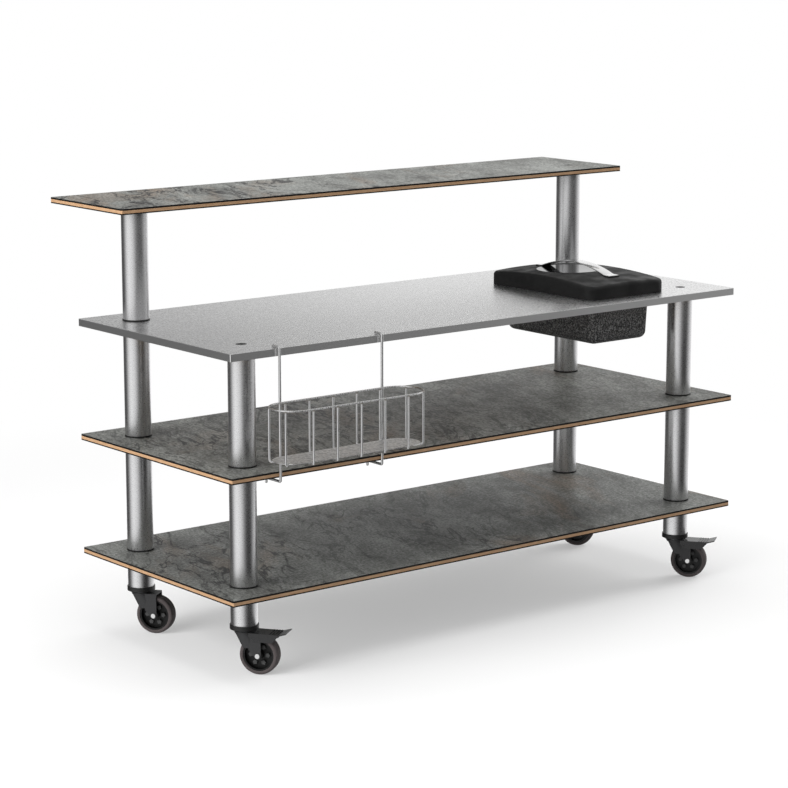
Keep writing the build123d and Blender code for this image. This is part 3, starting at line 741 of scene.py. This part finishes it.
def revolve(section: np.ndarray, origin: np.ndarray, axis: np.ndarray, steps: int) -> np.ndarray:
    """Turn a closed section (radius, height) once round an axis.

    Point (i, j) stands off the axis by radius j in the direction of turn i, and along it by height j.

    Args:
        section: n points of radius and height along the axis.
        origin: Point on the axis with height 0.
        axis: Unit vector of the axis.
        steps: Points round the axis.

    Returns:
        A grid of points, one row for each turn's step.
    """
    lies_crosswise = abs(axis[0]) < 0.9
    side = np.cross(axis, RIGHT if lies_crosswise else BACK)
    side /= np.linalg.norm(side)
    turn = np.linspace(0.0, 2.0 * np.pi, steps, endpoint=False)[:, None]
    outward = np.cos(turn) * side + np.sin(turn) * np.cross(axis, side)
    return carry(section, np.broadcast_to(origin, (steps, 3)), outward, axis)


def bent_path(corners: np.ndarray, radius: float, steps: int) -> np.ndarray:
    """Round off the corners of a path.

    Each inner corner gives way to an arc that touches both its sides: its centre lies on their bisector at
    radius / cos(half the turn), and its points run from half the turn before the bisector to half after.

    Args:
        corners: k points.
        radius: Radius of each bend.
        steps: Points in each bend.

    Returns:
        The path's points.
    """
    back = corners[:-2] - corners[1:-1]
    ahead = corners[2:] - corners[1:-1]
    back /= np.linalg.norm(back, axis=1, keepdims=True)
    ahead /= np.linalg.norm(ahead, axis=1, keepdims=True)
    half = (np.pi - np.arccos(np.sum(back * ahead, axis=1))) / 2.0
    inward = (back + ahead) / np.linalg.norm(back + ahead, axis=1, keepdims=True)
    onward = (ahead - back) / np.linalg.norm(ahead - back, axis=1, keepdims=True)
    centre = corners[1:-1] + inward * (radius / np.cos(half))[:, None]
    lean = np.linspace(-1.0, 1.0, steps)[None, :, None] * half[:, None, None]
    arcs = centre[:, None] + radius * (np.sin(lean) * onward[:, None] - np.cos(lean) * inward[:, None])
    return np.concatenate((corners[:1], arcs.reshape(-1, 3), corners[-1:]))


def along(path: np.ndarray, closed: bool) -> np.ndarray:
    """Unit tangents of a path, from each point's two neighbours.

    Args:
        path: The points.
        closed: Whether the last point joins the first.

    Returns:
        One unit vector for each point.
    """
    if closed:
        tangent = np.roll(path, -1, axis=0) - np.roll(path, 1, axis=0)
    else:
        tangent = np.gradient(path, axis=0)
    return tangent / np.linalg.norm(tangent, axis=1, keepdims=True)


def wire(
    path: np.ndarray, normal: np.ndarray, diameter: float, sides: int = 12, pole: float = 0.25, rows: int = 5
) -> np.ndarray:
    """A round wire along an open flat path, with its cut ends ground to domes.

    A dome's points stand at r (1 - cos a) from the end with the radius r sin a, for a from the pole's angle
    to a right angle.

    Args:
        path: The path's points.
        normal: Unit normal of the path's plane.
        diameter: The wire's diameter.
        sides: Points round the wire.
        pole: Angle at which a flat cap closes each dome, in radians.
        rows: Rows of points in each dome.

    Returns:
        A grid of points.
    """
    radius = diameter / 2.0
    lean = np.linspace(pole, np.pi / 2.0, rows)
    inset = radius * (1.0 - np.cos(lean))[:, None]
    tangent = along(path, closed=False)
    centres = np.concatenate(
        (path[0] + inset * tangent[0], path[1:-1], path[-1] - inset[::-1] * tangent[-1])
    )
    swell = np.concatenate((np.sin(lean), np.ones(len(path) - 2), np.sin(lean[::-1])))
    across = np.cross(along(centres, closed=False), normal)
    return carry(round_section(radius, sides), centres, across, normal, swell)


def bead(
    centre: np.ndarray, radius: float, height: float, sides: int = 12, pole: float = 0.3, rows: int = 8
) -> np.ndarray:
    """A weld bead: an upright ellipsoid, (r sin a cos t, r sin a sin t, -h cos a).

    Args:
        centre: Its middle.
        radius: Half its width.
        height: Half its height.
        sides: Points round it.
        pole: Angle at which a flat cap closes it at each end, in radians.
        rows: Rows of points from pole to pole.

    Returns:
        A grid of points.
    """
    lean = np.linspace(pole, np.pi - pole, rows)
    centres = centre + np.outer(-height * np.cos(lean), UP)
    return carry(round_section(radius, sides), centres, RIGHT, -BACK, np.sin(lean))


def add_piece(
    name: str,
    grids: list[np.ndarray],
    finish: Finish,
    body: str,
    closed: bool = False,
    node: str | None = None,
) -> None:
    """Make one piece from grids of points, each a closed section carried along a path.

    Args:
        name: The piece's name.
        grids: The grids, all m by n points.
        finish: Its finish.
        body: The body that it rides on.
        closed: Whether each path closes on itself. Open ones get a flat cap at both ends.
        node: The CAD node that it stands for, if any.
    """
    quads: list[np.ndarray] = []
    caps: list[list[int]] = []
    start = 0
    for grid in grids:
        rows, columns = grid.shape[:2]
        index = start + np.arange(rows * columns).reshape(rows, columns)
        ahead = np.roll(index, -1, axis=0) if closed else index[1:]
        here = index if closed else index[:-1]
        quads.append(np.stack((here, ahead, np.roll(ahead, -1, axis=1), np.roll(here, -1, axis=1)), axis=-1))
        if not closed:
            caps += [index[0].tolist(), index[-1][::-1].tolist()]
        start += rows * columns
    points = np.concatenate([grid.reshape(-1, 3) for grid in grids])
    faces = np.concatenate([quad.reshape(-1, 4) for quad in quads]).tolist() + caps
    mesh = bpy.data.meshes.new(name)
    mesh.from_pydata(points.tolist(), [], faces)
    mesh.polygons.foreach_set("use_smooth", [True] * len(faces))
    mesh.materials.append(finish.material())
    piece = bpy.data.objects.new(name, mesh)
    bpy.context.scene.collection.objects.link(piece)
    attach(piece, body)
    if node is not None:
        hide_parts(node)
    log.info("built %s with %d faces for %s", name, len(faces), body)


@dataclass
class Boards:
    """The three laminated boards."""

    names: tuple[str, ...] = ("bottom_board", "middle_board", "top_shelf")

    def build(self) -> None:
        """Dress the cores in plywood and their faces in laminate."""
        for name in self.names:
            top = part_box(f"{name}_core")[1][2]
            dress(replace(PLY, name=f"{PLY.name}_{name}", top=top), f"{name}_core")
            dress(SLATE, f"{name}_top_laminate", f"{name}_under_laminate")


@dataclass
class Worktop:
    """The folded steel sheet on its filler board."""

    def build(self) -> None:
        """Dress the sheet and the board."""
        dress(BLASTED, "worktop_skin")
        dress(CHIPBOARD, "worktop_core")


@dataclass
class Posts:
    """The tube posts with their collars, plugs, rods and caps."""

    front_tiers: tuple[str, ...] = ("foot", "lower", "upper")
    rear_tiers: tuple[str, ...] = ("foot", "lower", "upper", "riser")
    wall: float = 1.5 * MM
    rim: float = 0.5 * MM
    rim_steps: int = 5
    sides: int = 96

    def tube(self, node: str) -> None:
        """Turn one tube's wall, with deburred rims, round the post's axis.

        Args:
            node: The CAD tube that it stands for.
        """
        low, high = (np.array(corner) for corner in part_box(node))
        middle_radius = (high[0] - low[0] - self.wall) / 2.0
        section = bar_section(self.wall, high[2] - low[2], self.rim, self.rim_steps) + (middle_radius, 0.0)
        grid = revolve(section, (low + high) / 2.0, UP, self.sides)
        add_piece(f"{node}_wall", [grid], GROUND, "frame", closed=True, node=node)

    def build(self) -> None:
        """Turn the tubes, and dress what holds them."""
        for corner in Corner:
            for tier in self.front_tiers if corner.front else self.rear_tiers:
                self.tube(f"{corner.value}_{tier}_tube")
        dress(NYLON, "tube_collars", "caster_sockets")
        dress(PLUG_NYLON, "tube_plugs")
        dress(ZINC, "tie_rods")
        dress(STEM_ZINC, "caster_stems")
        dress(BLACK_OXIDE, "cap_nuts")


@dataclass
class Casters:
    """The four swivel casters, two with brakes."""

    radius: float = 44.0 * MM
    bore: float = 35.05 * MM
    width: float = 30.0 * MM
    shoulder: float = 6.0 * MM
    squareness: float = 2.6
    groove_place: float = 0.42
    groove_width: float = 0.05
    groove_depth: float = 0.5 * MM
    tread_steps: int = 61
    sides: int = 128

    def tread_section(self) -> np.ndarray:
        """The tyre's section: a crowned tread that rolls over into the sides, with two moulded grooves.

        Over the width w from -1 to 1 the radius falls by shoulder (1 - (1 - |w|^(2q))^(1/q)), where q is the
        squareness, and by a bell curve at each groove. The bore closes the loop.

        Returns:
            Points of radius and height, anticlockwise.
        """
        place = np.sin(np.linspace(-np.pi / 2.0, np.pi / 2.0, self.tread_steps))
        power = 2.0 * self.squareness
        drop = self.shoulder * (1.0 - (1.0 - np.abs(place) ** power) ** (1.0 / self.squareness))
        groove = self.groove_depth * np.exp(-(((np.abs(place) - self.groove_place) / self.groove_width) ** 2))
        tread = np.stack((self.radius - drop - groove, place * self.width / 2.0), axis=1)
        bore = np.array([(self.bore, self.width / 2.0), (self.bore, -self.width / 2.0)])
        return np.concatenate((tread, bore))

    def axle(self, corner: Corner) -> tuple[np.ndarray, np.ndarray]:
        """Find one wheel's axle in the frame.

        Args:
            corner: The caster.

        Returns:
            The wheel's middle and the axle's unit vector.
        """
        roll = next(joint for joint in frame["joints"] if joint["name"] == f"{corner.value}_roll")
        axis = np.array(roll["axis"], float)
        return np.array(roll["pos_m"], float), axis / np.linalg.norm(axis)

    def wheel(self, corner: Corner) -> PadSheenPlastic:
        """The wheel plastic, with its pads' ring laid round one wheel's axle."""
        centre, axis = (tuple(vector.tolist()) for vector in self.axle(corner))
        return replace(WHEEL, name=f"{WHEEL.name}_{corner.value}", centre=centre, axle=axis)

    def tyre(self, corner: Corner) -> None:
        """Turn one tyre round its axle.

        Args:
            corner: The caster.
        """
        grid = revolve(self.tread_section(), *self.axle(corner), self.sides)
        node = f"{corner.value}_tyre"
        add_piece(f"{node}_tread", [grid], RUBBER, f"{corner.value}_wheel", closed=True, node=node)

    def build(self) -> None:
        """Turn the tyres, and dress each caster's other pieces."""
        for corner in Corner:
            self.tyre(corner)
            dress(COAT, f"{corner.value}_fork")
            dress(POLISHED, f"{corner.value}_axle")
            dress(self.wheel(corner), f"{corner.value}_wheel_core")
            if corner.front:
                dress(PEDAL_NYLON, f"{corner.value}_brake_pedal")
                dress(COAT, f"{corner.value}_brake_pin")


@dataclass
class Basket:
    """The wire basket on the front edge."""

    length: float = 390.0 * MM
    depth: float = 100.0 * MM
    ring_wire: float = 4.0 * MM
    upright_wire: float = 5.0 * MM
    hanger_wire: float = 6.0 * MM
    bend: float = 6.0 * MM
    hanger_bend: float = 3.3 * MM
    upright_count: int = 14
    spur: float = 34.0 * MM
    hook_reach: float = 20.0 * MM
    toe_gap: float = 5.0 * MM
    bead_radius: float = 3.4 * MM
    bead_height: float = 2.2 * MM
    bend_steps: int = 8
    end_steps: int = 40
    ring_sides: int = 16

    def plan(self) -> tuple[np.ndarray, np.ndarray]:
        """Feet and inward directions of the uprights, at an even pitch round the ring.

        The pitch is the ring's girth over the count. Steps from the middle of each straight stand on it while
        they fit, and go on round the end by the angle (distance - straight) / end radius.

        Returns:
            The uprights' places on the ring's line, from its middle, and their unit directions inwards.
        """
        end = self.depth / 2.0
        straight = self.length / 2.0 - end
        pitch = (4.0 * straight + 2.0 * np.pi * end) / self.upright_count
        quarter = np.arange(1, self.upright_count // 4 + 1) * pitch
        turn = np.where(quarter > straight, (quarter - straight) / end, 0.0)
        right = np.stack((np.minimum(quarter, straight) + end * np.sin(turn), -end * np.cos(turn)), axis=1)
        inward = np.stack((-np.sin(turn), np.cos(turn)), axis=1)
        leftward, rearward = (-1.0, 1.0), (1.0, -1.0)
        half = np.concatenate(([(0.0, -end)], right, right * leftward))
        half_in = np.concatenate(([(0.0, 1.0)], inward, inward * leftward))
        return np.concatenate((half, half * rearward)), np.concatenate((half_in, half_in * rearward))

    def build(self) -> None:
        """Bend the wires, weld them, and dress the floor sheet."""
        low, high = (np.array(corner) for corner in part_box("basket_ring"))
        centre = (low + high) / 2.0
        self.ring(centre)
        self.uprights(centre)
        self.hangers()
        dress(SHEET, "basket_floor")

    def ring(self, centre: np.ndarray) -> None:
        """Bend the ring: two half circles joined by straights.

        Args:
            centre: Middle of the ring.
        """
        end = self.depth / 2.0
        turn = np.linspace(-np.pi / 2.0, np.pi / 2.0, self.end_steps)
        bow = np.stack((self.length / 2.0 - end + end * np.cos(turn), end * np.sin(turn), 0.0 * turn), axis=1)
        path = centre + np.concatenate((bow, bow * (-1.0, -1.0, 1.0)))
        across = np.cross(along(path, closed=True), UP)
        grid = carry(round_section(self.ring_wire / 2.0, self.ring_sides), path, across, UP)
        add_piece("basket_ring_wire", [grid], WIRE, "basket", closed=True, node="basket_ring")

    def uprights(self, centre: np.ndarray) -> None:
        """Bend the uprights, and set a bead where each meets the ring.

        An upright at the ends turns in under the floor as a spur. One on the front straight goes on under the
        floor and up again as the upright opposite, so the back ones start no wire of their own.

        Args:
            centre: Middle of the ring.
        """
        low, high = (np.array(corner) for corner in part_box("basket_uprights"))
        top = high[2] * UP
        foot = (low[2] + self.upright_wire / 2.0) * UP
        middle = centre * (1.0, 1.0, 0.0)
        wires, beads = [], []
        for place, inward in zip(*self.plan()):
            stand = middle + (*place, 0.0)
            inside = np.array((*inward, 0.0))
            beads.append(bead(stand + top, self.bead_radius, self.bead_height))
            far = stand + self.depth * inside
            corners = [stand + top, stand + foot, far + foot, far + top]
            if inward[0] != 0.0:
                corners[2:] = [stand + foot + self.spur * inside]
            elif place[1] > 0.0:
                continue
            path = bent_path(np.array(corners), self.bend, self.bend_steps)
            wires.append(wire(path, np.cross(inside, UP), self.upright_wire))
        add_piece("basket_upright_wires", wires, WIRE, "basket", node="basket_uprights")
        add_piece("basket_weld_beads", beads, WELD, "basket")

    def hangers(self) -> None:
        """Bend the two hangers, each with a hook over the worktop and a toe under the middle board."""
        low, high = (np.array(corner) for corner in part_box("basket_hangers"))
        radius = self.hanger_wire / 2.0
        front, toe = low[1] + radius, high[1] - radius
        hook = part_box("worktop_skin")[0][1] + self.hook_reach
        top = high[2] - radius
        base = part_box("middle_board_under_laminate")[0][2] - self.toe_gap - radius
        wires = []
        for x in (low[0] + radius, high[0] - radius):
            corners = [(x, hook, top), (x, front, top), (x, front, base), (x, toe, base), (x, toe, low[2])]
            path = bent_path(np.array(corners), self.hanger_bend, self.bend_steps)
            wires.append(wire(path, RIGHT, self.hanger_wire))
        add_piece("basket_hanger_wires", wires, WIRE, "basket", node="basket_hangers")


@dataclass
class TubSet:
    """The tub, its lid and the lid's strap handle."""

    foot: float = 18.0 * MM
    sheet: float = 2.5 * MM
    edge: float = 0.9 * MM
    edge_steps: int = 6
    blend_steps: int = 17
    path_steps: int = 263

    def strap(self) -> None:
        """Roll the strap: two flat feet and a low arch between them.

        Over the length y the middle line stands at an arc of a circle through both feet's inner ends and the
        top, and at 0 over the feet, smoothed by a weighted running mean that gives the two bends.
        """
        low, high = (np.array(corner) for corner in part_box("lid_handle"))
        middle = (low + high) / 2.0
        reach = (high[1] - low[1]) / 2.0
        inner = reach - self.foot
        rise = high[2] - low[2] - self.sheet
        radius = (inner**2 + rise**2) / (2.0 * rise)
        y = np.linspace(-reach, reach, self.path_steps)
        arch = np.sqrt(radius**2 - np.clip(np.abs(y), 0.0, inner) ** 2) - (radius - rise)
        window = np.hanning(self.blend_steps + 2)[1:-1]
        padded = np.pad(arch, self.blend_steps // 2, mode="edge")
        arch = np.convolve(padded, window / window.sum(), mode="valid")
        path = np.stack((0.0 * y + middle[0], middle[1] + y, low[2] + self.sheet / 2.0 + arch), axis=1)
        section = bar_section(self.sheet, high[0] - low[0], self.edge, self.edge_steps)
        grid = carry(section, path, np.cross(along(path, closed=False), RIGHT), RIGHT)
        add_piece("lid_strap", [grid], STRAP, "lid", node="lid_handle")

    def build(self) -> None:
        """Roll the strap, and dress the tub and the lid."""
        self.strap()
        dress(TUB_ABS, "tub")
        dress(LID_ABS, "lid")


@dataclass(frozen=True)
class Softbox:
    """One lamp, with its place and size in metres."""

    name: str
    place: Point
    size: tuple[float, float]
    watts: float


@dataclass
class Studio:
    """Camera, floor, lamps and background."""

    camera_place: Point = (-3.76424, -4.62105, 1.65788)
    camera_tilt_deg: float = 79.0934
    camera_turn_deg: float = -38.5902
    lens_mm: float = 117.04
    sensor_mm: float = 36.0
    clip_end: float = 100.0
    floor_half: float = 14.0
    floor_tone: float = 0.54
    floor_glow: float = 0.365
    fade_span: Span = (1.1, 2.5)
    lamp_aim: Point = (0.0, 0.0, 0.5)
    lamps: tuple[Softbox, ...] = (
        Softbox("left_softbox", (-3.4, -0.2, 1.5), (2.6, 2.6), 120.0),
        Softbox("right_softbox", (3.6, 0.2, 1.6), (2.6, 2.6), 105.0),
        Softbox("overhead_softbox", (0.0, 0.0, 3.6), (3.6, 3.0), 72.0),
    )
    ambient: float = 0.42
    # Brightness that metal mirrors, by the compass angle from +X towards +Y: a softbox at the left, a dark
    # front and a lit wall at the back right. Further up come plain walls, and then the ceiling.
    skyline: tuple[tuple[float, float], ...] = (
        (-180.0, 1.0), (-145.0, 0.8), (-130.0, 0.55), (-113.0, 0.2), (-95.0, 0.04), (-70.0, 0.03),
        (-58.0, 0.08), (-38.0, 0.38), (-10.0, 0.78), (20.0, 1.0), (51.0, 1.0), (56.0, 0.54), (62.0, 0.3),
        (103.0, 0.06), (127.0, 0.1), (142.0, 0.35), (160.0, 0.8), (180.0, 1.0),
    )
    wall: float = 0.4
    wall_rise: Span = (0.06, 0.2)
    ceiling: float = 0.55
    ceiling_rise: Span = (0.45, 0.9)

    def add_camera(self) -> None:
        """Stand the camera at the photograph's viewpoint."""
        data = bpy.data.cameras.new("camera")
        data.lens = self.lens_mm
        data.sensor_width = self.sensor_mm
        data.clip_end = self.clip_end
        camera = bpy.data.objects.new("camera", data)
        camera.location = self.camera_place
        camera.rotation_euler = (math.radians(self.camera_tilt_deg), 0.0, math.radians(self.camera_turn_deg))
        bpy.context.scene.collection.objects.link(camera)
        bpy.context.scene.camera = camera

    def ray_share(self, tree: Tree, *kinds: str) -> Socket:
        """Tell the rays that look at the background from those that light the object.

        Args:
            tree: The node tree.
            kinds: Names of the Light Path outputs that count as looking.

        Returns:
            1 for these rays and 0 for others.
        """
        share: Socket | float = 0.0
        for kind in kinds:
            ray = add_node(tree, "ShaderNodeLightPath", out=kind)
            share = add_node(tree, "ShaderNodeMath", {"operation": "MAXIMUM"}, (share, ray))
        return share

    def add_floor(self) -> None:
        """Lay a pale floor that takes the object's shadow and fades to white with the distance."""
        corners = self.floor_half * np.array([(-1, -1, 0), (1, -1, 0), (1, 1, 0), (-1, 1, 0)], float)
        mesh = bpy.data.meshes.new("floor")
        mesh.from_pydata(corners.tolist(), [], [(0, 1, 2, 3)])
        floor = bpy.data.objects.new("floor", mesh)
        bpy.context.scene.collection.objects.link(floor)
        material = bpy.data.materials.new("pale_floor")
        material.use_nodes = True
        tree = material.node_tree
        tree.nodes.clear()
        seen = self.ray_share(tree, "Is Camera Ray", "Is Transmission Ray", "Is Glossy Ray")
        glow = add_node(tree, "ShaderNodeMath", {"operation": "MULTIPLY"}, (seen, self.floor_glow))
        lit = add_node(tree, "ShaderNodeBsdfDiffuse", inputs={"Color": grey(self.floor_tone)})
        own = add_node(tree, "ShaderNodeEmission", inputs={"Color": grey(1.0), "Strength": glow})
        near = add_node(tree, "ShaderNodeAddShader", inputs=(lit, own))
        place = add_node(tree, "ShaderNodeTexCoord", out="Object")
        away = add_node(tree, "ShaderNodeVectorMath", {"operation": "LENGTH"}, (place,), out="Value")
        smooth = {"interpolation_type": "SMOOTHSTEP"}
        fade = add_node(tree, "ShaderNodeMapRange", smooth, (away, *self.fade_span))
        fade = add_node(tree, "ShaderNodeMath", {"operation": "MULTIPLY"}, (fade, seen))
        white = add_node(tree, "ShaderNodeEmission", inputs={"Color": grey(1.0), "Strength": 1.0})
        whole = add_node(tree, "ShaderNodeMixShader", inputs=(fade, near, white))
        add_node(tree, "ShaderNodeOutputMaterial", inputs={"Surface": whole})
        mesh.materials.append(material)
        floor.visible_glossy = False

    def add_lamps(self) -> None:
        """Hang the softboxes, each facing the middle of the station."""
        for box in self.lamps:
            data = bpy.data.lights.new(box.name, "AREA")
            data.shape = "RECTANGLE"
            data.size, data.size_y = box.size
            data.energy = box.watts
            lamp = bpy.data.objects.new(box.name, data)
            lamp.location = box.place
            aim = np.array(self.lamp_aim) - box.place
            tilt = math.atan2(math.hypot(aim[0], aim[1]), -aim[2])
            turn = math.atan2(aim[1], aim[0]) - math.pi / 2
            lamp.rotation_euler = (tilt, 0.0, turn)
            lamp.visible_glossy = False
            bpy.context.scene.collection.objects.link(lamp)

    def add_background(self) -> None:
        """White behind the object, the studio that metal mirrors, and a plain ambient light."""
        world = bpy.data.worlds.new("studio")
        bpy.context.scene.world = world
        world.use_nodes = True
        tree = world.node_tree
        tree.nodes.clear()
        direction = add_node(tree, "ShaderNodeTexCoord", out="Generated")
        x, y, z = (add_node(tree, "ShaderNodeSeparateXYZ", inputs=(direction,), out=axis) for axis in "XYZ")
        compass = add_node(tree, "ShaderNodeMath", {"operation": "ARCTAN2"}, (y, x))
        compass = add_node(tree, "ShaderNodeMapRange", inputs=(compass, -math.pi, math.pi))
        stops = [((angle + 180.0) / 360.0, grey(level)) for angle, level in self.skyline]
        boxes = add_node(tree, "ShaderNodeValToRGB", {"stops": stops}, (compass,))
        smooth = {"interpolation_type": "SMOOTHSTEP"}
        walled = add_node(tree, "ShaderNodeMapRange", smooth, (z, *self.wall_rise))
        lifted = add_node(tree, "ShaderNodeMapRange", smooth, (z, *self.ceiling_rise))
        shares = {0: walled, 6: boxes, 7: grey(self.wall)}
        walls = add_node(
            tree, "ShaderNodeMix", {"data_type": "RGBA", "blend_type": "LIGHTEN"}, shares, out=2
        )
        shares = {0: lifted, 6: walls, 7: grey(self.ceiling)}
        mirrored = add_node(tree, "ShaderNodeMix", {"data_type": "RGBA"}, shares, out=2)
        mirror, ambient, white = (
            add_node(tree, "ShaderNodeBackground", inputs={"Color": colour, "Strength": strength})
            for colour, strength in ((mirrored, 1.0), (grey(1.0), self.ambient), (grey(1.0), 1.0))
        )
        glossy = self.ray_share(tree, "Is Glossy Ray")
        seen = self.ray_share(tree, "Is Camera Ray", "Is Transmission Ray")
        plain = add_node(tree, "ShaderNodeMixShader", inputs=(glossy, ambient, mirror))
        whole = add_node(tree, "ShaderNodeMixShader", inputs=(seen, plain, white))
        add_node(tree, "ShaderNodeOutputWorld", inputs={"Surface": whole})

    def build(self) -> None:
        """Set up the whole studio."""
        self.add_camera()
        self.add_floor()
        self.add_lamps()
        self.add_background()
        bpy.context.scene.view_settings.view_transform = "Standard"


def main() -> None:
    """Build the station's looks, piece by piece."""
    logging.basicConfig(level=logging.INFO, format="%(name)s: %(message)s")
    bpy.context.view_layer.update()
    for assembly in (Studio(), Boards(), Worktop(), Posts(), Casters(), Basket(), TubSet()):
        assembly.build()


if __name__ == "__main__":
    main()
